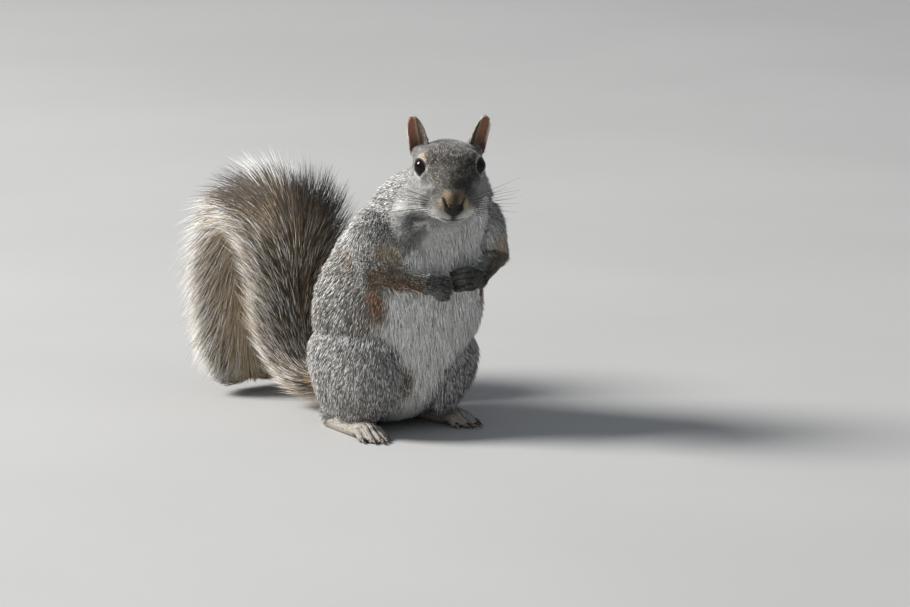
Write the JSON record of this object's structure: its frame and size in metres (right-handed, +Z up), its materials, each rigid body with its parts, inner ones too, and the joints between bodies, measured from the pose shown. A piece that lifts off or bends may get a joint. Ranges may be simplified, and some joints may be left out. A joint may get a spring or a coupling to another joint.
{
  "type": "grey squirrel model",
  "caption": "Life-size still model of an eastern grey squirrel sitting up on its haunches, forepaws held to its chest and bushy tail arched behind.",
  "frame": {"origin": "middle of the bounding box, on the floor that the hind feet and the root of the tail rest on", "axes": "+Z up, -Y the way the body faces, +X the animal's left; the head is turned 32 degrees to its right"},
  "size_m": [0.1138, 0.253, 0.1947],
  "materials": {
    "grey_fur": "fur, matt",
    "rust_fur": "fur, matt",
    "tail_fur": "long fur, matt",
    "ear_skin": "thin skin, matt",
    "eye": "glossy",
    "nose": "damp skin, satin"
  },
  "bodies": {
    "root": {"ear_l": "ear_skin", "ear_r": "ear_skin", "eye_l": "eye", "eye_r": "eye", "forearm_l": "rust_fur", "forearm_r": "rust_fur", "forepaw_l": "rust_fur", "forepaw_r": "rust_fur", "head": "grey_fur", "hind_foot_l": "grey_fur", "hind_foot_r": "grey_fur", "neck": "grey_fur", "nose": "nose", "shank_l": "grey_fur", "shank_r": "grey_fur", "tail_1": "tail_fur", "tail_2": "tail_fur", "tail_3": "tail_fur", "tail_4": "tail_fur", "tail_5": "tail_fur", "thigh_l": "grey_fur", "thigh_r": "grey_fur", "trunk": "grey_fur", "upper_arm_l": "grey_fur", "upper_arm_r": "grey_fur"}
  },
  "joints": []
}
